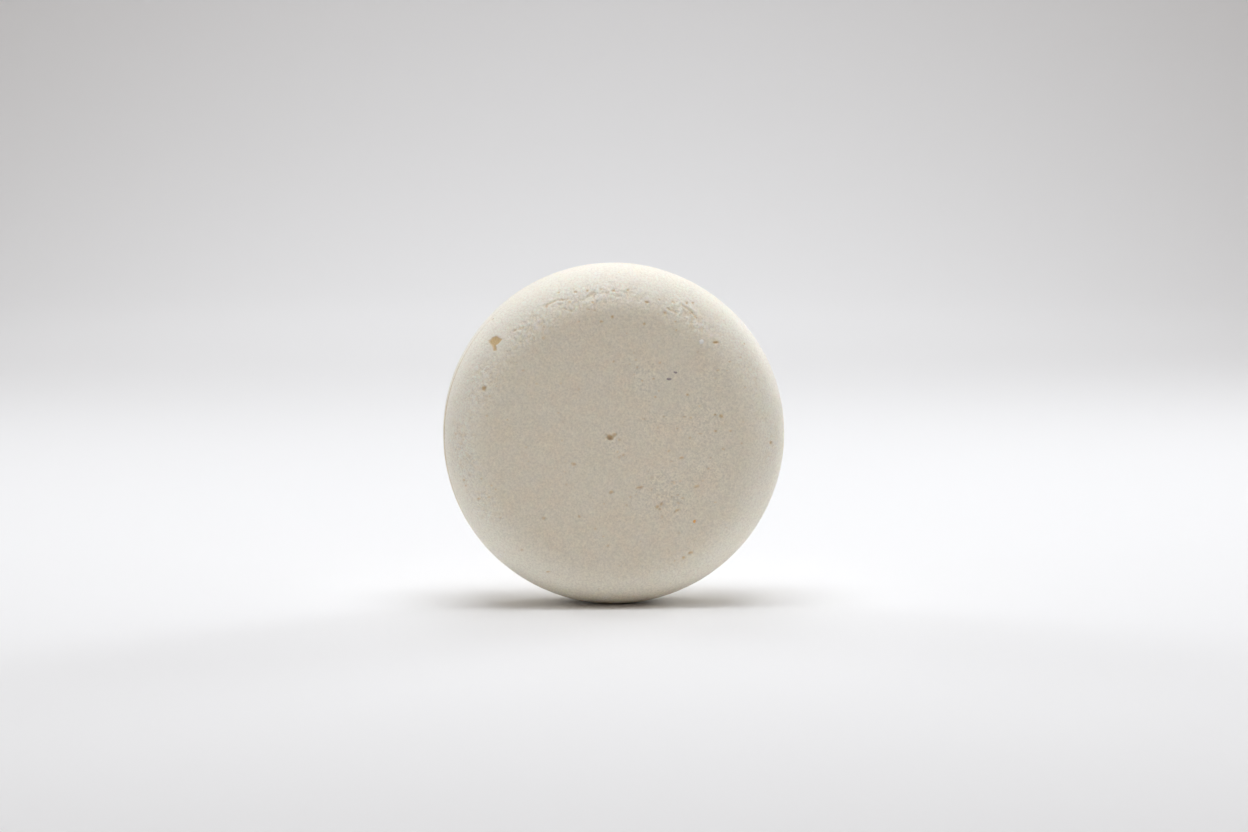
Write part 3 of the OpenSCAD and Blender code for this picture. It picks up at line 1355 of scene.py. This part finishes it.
    def shape_relief(self) -> np.ndarray:
        """Adds up every kind of relief on the skin.

        Returns:
            Height above the smooth skin at each point.
        """
        spots, shape = self.points, self.relief
        crumbly = self.crumbliness()
        rough = self.roughness_map()
        self.coarse = np.maximum(rough, crumbly)
        height = np.full(len(spots), -shape.settling)
        for number, wave in enumerate(SKIN_WAVES, start=1):
            rise = wave.height + wave.rough_height * rough
            height += rise * lattice_noise(spots, wave.lump, self.seed + number)
        slant = spots @ RIPPLE_SLANT
        ripple = lattice_noise(slant * shape.ripple_squash, shape.ripple_lump, self.seed + 5)
        height += shape.ripple_height * rough * ripple * (spots[:, 1] < 0)
        crumbs = crumb_cells(spots, shape.crumb, self.seed + 6)
        small_crumbs = crumb_cells(spots, shape.small_crumb, self.seed + 7)
        height += crumbly * shape.crumb_height * (crumbs - shape.crumb_top)
        height += crumbly * shape.small_crumb_height * (small_crumbs - shape.crumb_top)
        gaps = 1.0 - smooth_step(*shape.crumb_gap, crumbs)
        small_gaps = 1.0 - smooth_step(*shape.small_crumb_gap, small_crumbs)
        gaps = np.maximum(gaps, shape.small_gap_share * small_gaps)
        # The gaps between crumbs are painted a darker tan, as painted shade.
        self.hollow_tan_and_shade = shape.gap_tan_and_shade * crumbly * gaps
        # The crumb tops are painted paler: rubbed wear and painted highlight.
        self.rubbed_and_painted_highlight = crumbly * smooth_step(*shape.painted_highlight_top, small_crumbs)
        for number, pit in enumerate(NAMED_PITS):
            self.sink_pit(height, pit, -1, PIT_SEEDS + number)
        for number, crack in enumerate(CRACKS):
            self.cut_crack(height, crack, CRACK_SEEDS + number)
        for number, chip in enumerate(CHIPS):
            self.break_out(height, chip, CHIP_SEEDS + number)
        made = self.scatter_pores(height)
        LOG.info("soap cake: %d stray pores", made)
        return np.minimum(height, self.relief_room)

    def dried_and_painted_light_weights(self) -> np.ndarray:
        """Weighs how pale the shoulders are painted, as dried skin and painted light: paler
        towards the top, and least at the foot as painted shade where the cake stands.

        Returns:
            One weight for each point, from 0 to 1.
        """
        spread = np.hypot(self.points[:, 0], self.points[:, 2])
        upward = self.points[:, 2] / self.body_radius
        on_shoulder = smooth_step(*self.pale_from_flat, spread - self.flat)
        # Less pale at the very foot: painted shade where the cake stands on the floor.
        foot = between((self.foot_pale_share, 1.0), smooth_step(*self.foot_heights, upward))
        # A little less pale on the lower sides, so the top is painted lighter, as if lit from
        # above.
        side = between((self.low_side_pale_share, 1.0), smooth_step(*self.side_heights, upward))
        return on_shoulder * foot * side

    def tan_edge_line_weights(self) -> np.ndarray:
        """Weighs the thin tan line just in front of the rim, inside the left edge.

        Returns:
            One weight for each point, from 0 to 1.
        """
        spread = np.hypot(self.points[:, 0], self.points[:, 2])
        on_rim = smooth_step(self.body_radius - 1.0, self.body_radius - 0.5, spread)
        clock = np.degrees(np.arctan2(self.points[:, 2], self.points[:, 0])) % 360.0
        line = hill(self.points[:, 1], -self.rim_half - self.edge_line_forward, self.edge_line_half)
        return on_rim * line * hill(clock, self.edge_line_clock_deg, self.edge_line_half_deg)

    def rim_edges(self) -> np.ndarray:
        """Raises a fine edge where each shoulder meets the rim and sinks the band between.

        Returns:
            Height to add at each point.
        """
        depth = np.abs(self.points[:, 1])
        spread = np.hypot(self.points[:, 0], self.points[:, 2])
        near_rim = smooth_step(self.body_radius - 1.0, self.body_radius, spread)
        shape = self.relief
        edge = hill(depth, self.rim_half + shape.rim_edge_out, shape.rim_edge_half)
        sunk = 1.0 - smooth_step(self.rim_half - shape.rim_sunk_ease, self.rim_half, depth)
        return near_rim * (shape.rim_edge * edge - shape.rim_sunk * sunk)

    def build(self) -> bpy.types.Object:
        """Builds the cake, dresses it and puts it in the CAD node's place.

        Returns:
            The finished piece.
        """
        faces = self.lay_skin()
        height = np.minimum(self.shape_relief() + self.rim_edges(), self.relief_room)
        shaped = self.points + self.normals * height[:, None]
        shaped[:, 2] = np.maximum(shaped[:, 2] + self.centre_up, 0.0)
        piece = make_object("soap_cake", shaped * MM, faces)
        # Stores the painted tints: tan and painted shade in the hollows, the tan line, rubbed wear
        # and painted highlight on the crumb tops, dried skin and painted light on the shoulders.
        for tint, weights in (
            (PointTint.HOLLOW_TAN_AND_SHADE, self.hollow_tan_and_shade),
            (PointTint.TAN_EDGE_LINE, self.tan_edge_line_weights()),
            (PointTint.RUBBED_AND_PAINTED_HIGHLIGHT, self.rubbed_and_painted_highlight),
            (PointTint.DRIED_AND_PAINTED_LIGHT, self.dried_and_painted_light_weights()),
            (PointTint.COARSE, self.coarse),
        ):
            paint_points(piece, tint.value, np.clip(weights, 0.0, 1.0))
        piece.data.materials.append(self.finish.material())
        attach(piece, "root")
        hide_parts("puck")
        return piece


@dataclass
class SeatedGrain:
    """One chip of peel, petal or flake that sits in the cake's face."""

    name: str
    node: str
    slot: str
    finish: GrainFinish
    stretch: tuple[float, float, float]
    seed: int
    rows: int = 24
    columns: int = 48
    # Lumps, knobs and facets on a ball of radius 1, and how much of its box the chip fills.
    lump: float = 0.9
    lump_rise: float = 0.24
    knob: float = 0.4
    knob_rise: float = 0.10
    facet: float = 0.8
    facet_rise: float = 0.10
    lump_limits: tuple[float, float] = (-0.2, 0.12)
    fill: float = 0.98

    def build(self) -> bpy.types.Object:
        """Builds the chip as a small broken lump inside its CAD grain's box.

        Returns:
            The finished piece.
        """
        low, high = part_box(self.node)
        middle, span = (low + high) / 2.0, (high - low) / 2.0
        tilts = math.pi * np.arange(self.rows + 1) / self.rows
        profile = [(math.sin(tilt), -math.cos(tilt)) for tilt in tilts]
        ball, faces = turned_skin(profile, self.columns, far_hub=True)
        ball = ball[:, [0, 2, 1]]
        lumps = self.lump_rise * lattice_noise(ball, self.lump, self.seed)
        lumps += self.knob_rise * lattice_noise(ball, self.knob, self.seed + 1)
        lumps += self.facet_rise * (crumb_cells(ball, self.facet, self.seed + 2) - 0.5)
        ball *= (self.fill + np.clip(lumps, *self.lump_limits))[:, None]
        ball *= self.stretch
        shaped = np.clip(np.array(middle) + ball * np.array(span), np.array(low), np.array(high))
        piece = make_object(self.name, shaped, faces)
        piece.data.materials.append(self.finish.material())
        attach(piece, "root")
        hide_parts(self.node)
        return piece


# ---------------------------------------------------------------------------------------
# The studio
# ---------------------------------------------------------------------------------------


@dataclass
class StudioSweep:
    """A round floor of white paper that curves up into a wall on every side."""

    floor_radius: float = 0.95
    curve_radius: float = 0.9
    wall_height: float = 1.6
    around: int = 96
    curve_steps: int = 24
    finish: PaperSweep = PaperSweep()

    def build(self) -> bpy.types.Object:
        """Builds the sweep in metres.

        Returns:
            The sweep.
        """
        profile = [(0.0, 0.0), (self.floor_radius * 0.5, 0.0), (self.floor_radius, 0.0)]
        for step in range(1, self.curve_steps + 1):
            tilt = QUARTER_TURN * step / self.curve_steps
            profile.append(
                (
                    self.floor_radius + self.curve_radius * math.sin(tilt),
                    self.curve_radius * (1.0 - math.cos(tilt)),
                )
            )
        profile.append((profile[-1][0], self.wall_height))
        points, faces = turned_skin(profile, self.around, far_hub=False)
        sweep = make_object("paper_sweep", points, faces)
        sweep.data.materials.append(self.finish.material())
        return sweep


@dataclass
class Softbox:
    """One soft studio light: where it hangs, what it looks at, its size and its power."""

    name: str
    place: tuple[float, float, float]
    aim: tuple[float, float, float]
    width: float
    length: float
    power: float
    spread_deg: float = 180.0
    colour: str = "#F6FAFF"

    def build(self) -> bpy.types.Object:
        """Hangs the light.

        Returns:
            The light's object.
        """
        data = bpy.data.lights.new(self.name, "AREA")
        data.shape = "RECTANGLE"
        data.size = self.width
        data.size_y = self.length
        data.energy = self.power
        data.spread = math.radians(self.spread_deg)
        data.color = linear_colour(self.colour)[:3]
        lamp = bpy.data.objects.new(self.name, data)
        lamp.location = self.place
        way = Vector(self.aim) - Vector(self.place)
        lamp.rotation_euler = way.to_track_quat("-Z", "Y").to_euler()
        lamp.visible_camera = False
        bpy.context.scene.collection.objects.link(lamp)
        return lamp


@dataclass
class Studio:
    """Soft boxes overhead, a backdrop wash and faint side panels in a dim, warm room.

    The overhead and floor boxes light the paper and the top of the cake, the front box its
    face, the far box and the wash the backdrop, and the right box and panels its sides.
    """

    room_level: float = 0.1
    room_colour: str = "#FFD09C"
    boxes: tuple[Softbox, ...] = (
        Softbox("overhead_box", (0.0, 0.03, 0.68), (0.0, 0.05, 0.0), 0.6, 0.2, 1.1),
        Softbox("overhead_front", (0.0, -0.1, 0.65), (0.0, 0.0, 0.0), 0.55, 0.18, 1.75),
        Softbox("front_box", (0.0, -0.4, 0.75), (0.0, 0.0, 0.0), 0.5, 0.2, 0.62),
        Softbox("overhead_back", (0.0, 0.35, 0.75), (0.0, 0.3, 0.0), 0.6, 0.5, 0.88),
        Softbox("floor_box", (0.0, 0.5, 0.7), (0.0, 0.5, 0.0), 0.35, 0.3, 0.24, 100.0),
        Softbox("right_box", (0.9, 0.2, 0.5), (0.0, 0.0, 0.04), 0.5, 0.5, 0.35),
        Softbox("far_box", (0.04, 0.85, 0.75), (0.04, 1.0, 0.0), 0.5, 0.4, 2.1, 140.0),
        Softbox("backdrop_wash", (0.08, 1.1, 0.66), (0.08, 1.8, 0.12), 0.25, 0.25, 0.7),
        Softbox("back_left_panel", (-0.6, 0.5, 0.32), (0.0, 0.0, 0.04), 0.3, 0.4, 0.27, 80.0),
        Softbox("back_right_panel", (0.6, 0.5, 0.32), (0.0, 0.0, 0.04), 0.3, 0.4, 0.42, 80.0),
    )

    def build(self) -> None:
        """Hangs the lights, sets the dim room and the plain colour transform."""
        world = bpy.data.worlds.new("dim_room")
        world.use_nodes = True
        tree = world.node_tree
        tree.nodes.clear()
        room = add_node(
            tree,
            "ShaderNodeBackground",
            {"Color": linear_colour(self.room_colour), "Strength": self.room_level},
        )
        add_node(
            tree, "ShaderNodeOutputWorld", links={"Surface": room.outputs["Background"]}
        )
        scene = bpy.context.scene
        scene.world = world
        scene.view_settings.view_transform = "Standard"
        scene.view_settings.look = "None"
        scene.view_settings.exposure = 0.0
        for box in self.boxes:
            box.build()


@dataclass
class StudioCamera:
    """A long lens, a little above the cake and a touch to its left."""

    azimuth_deg: float = -3.0
    elevation_deg: float = 6.0
    distance: float = 0.7725
    focal_mm: float = 100.0
    sensor_mm: float = 36.0
    clip: tuple[float, float] = (0.01, 20.0)
    aim: tuple[float, float, float] = (0.00235, 0.0, 0.04165)

    def build(self) -> bpy.types.Object:
        """Makes the scene's camera.

        Returns:
            The camera.
        """
        data = bpy.data.cameras.new("studio_camera")
        data.lens = self.focal_mm
        data.sensor_width = self.sensor_mm
        data.sensor_fit = "HORIZONTAL"
        data.clip_start, data.clip_end = self.clip
        camera = bpy.data.objects.new("studio_camera", data)
        turn, lift = math.radians(self.azimuth_deg), math.radians(self.elevation_deg)
        back = Vector(
            (
                math.sin(turn) * math.cos(lift),
                -math.cos(turn) * math.cos(lift),
                math.sin(lift),
            )
        )
        camera.location = Vector(self.aim) + back * self.distance
        camera.rotation_euler = (-back).to_track_quat("-Z", "Y").to_euler()
        bpy.context.scene.collection.objects.link(camera)
        bpy.context.scene.camera = camera
        return camera


def main() -> None:
    """Builds the cake, its grains and the studio, and reports each piece."""
    logging.basicConfig(level=logging.INFO, format="%(message)s")
    low, high = (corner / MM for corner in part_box("puck"))
    radius = (high.x - low.x) / 2.0
    cake = SoapCake(
        radius=radius,
        thickness=high.y - low.y,
        centre_up=high.z - radius,
    )
    piece = cake.build()
    LOG.info("%s: %d faces", piece.name, len(piece.data.polygons))
    grains = (
        SeatedGrain(
            "orange_peel_grain", "orange_grain", "orange_peel", ORANGE_PEEL, (0.9, 1.0, 1.1), 7
        ),
        SeatedGrain(
            "lavender_grain", "violet_grain", "violet_botanical", LAVENDER, (1.1, 1.0, 0.7), 17
        ),
        SeatedGrain(
            "lavender_fleck", "violet_fleck", "violet_botanical", LAVENDER, (1.1, 1.0, 0.6), 27
        ),
        SeatedGrain(
            "white_flake_grain", "white_grain", "undissolved_soap", SOAP_FLAKE, (1.0, 1.0, 1.0), 37
        ),
    )
    for grain in grains:
        piece = grain.build()
        LOG.info("%s: %d faces", piece.name, len(piece.data.polygons))
    StudioSweep().build()
    Studio().build()
    StudioCamera().build()


if __name__ == "__main__":
    main()
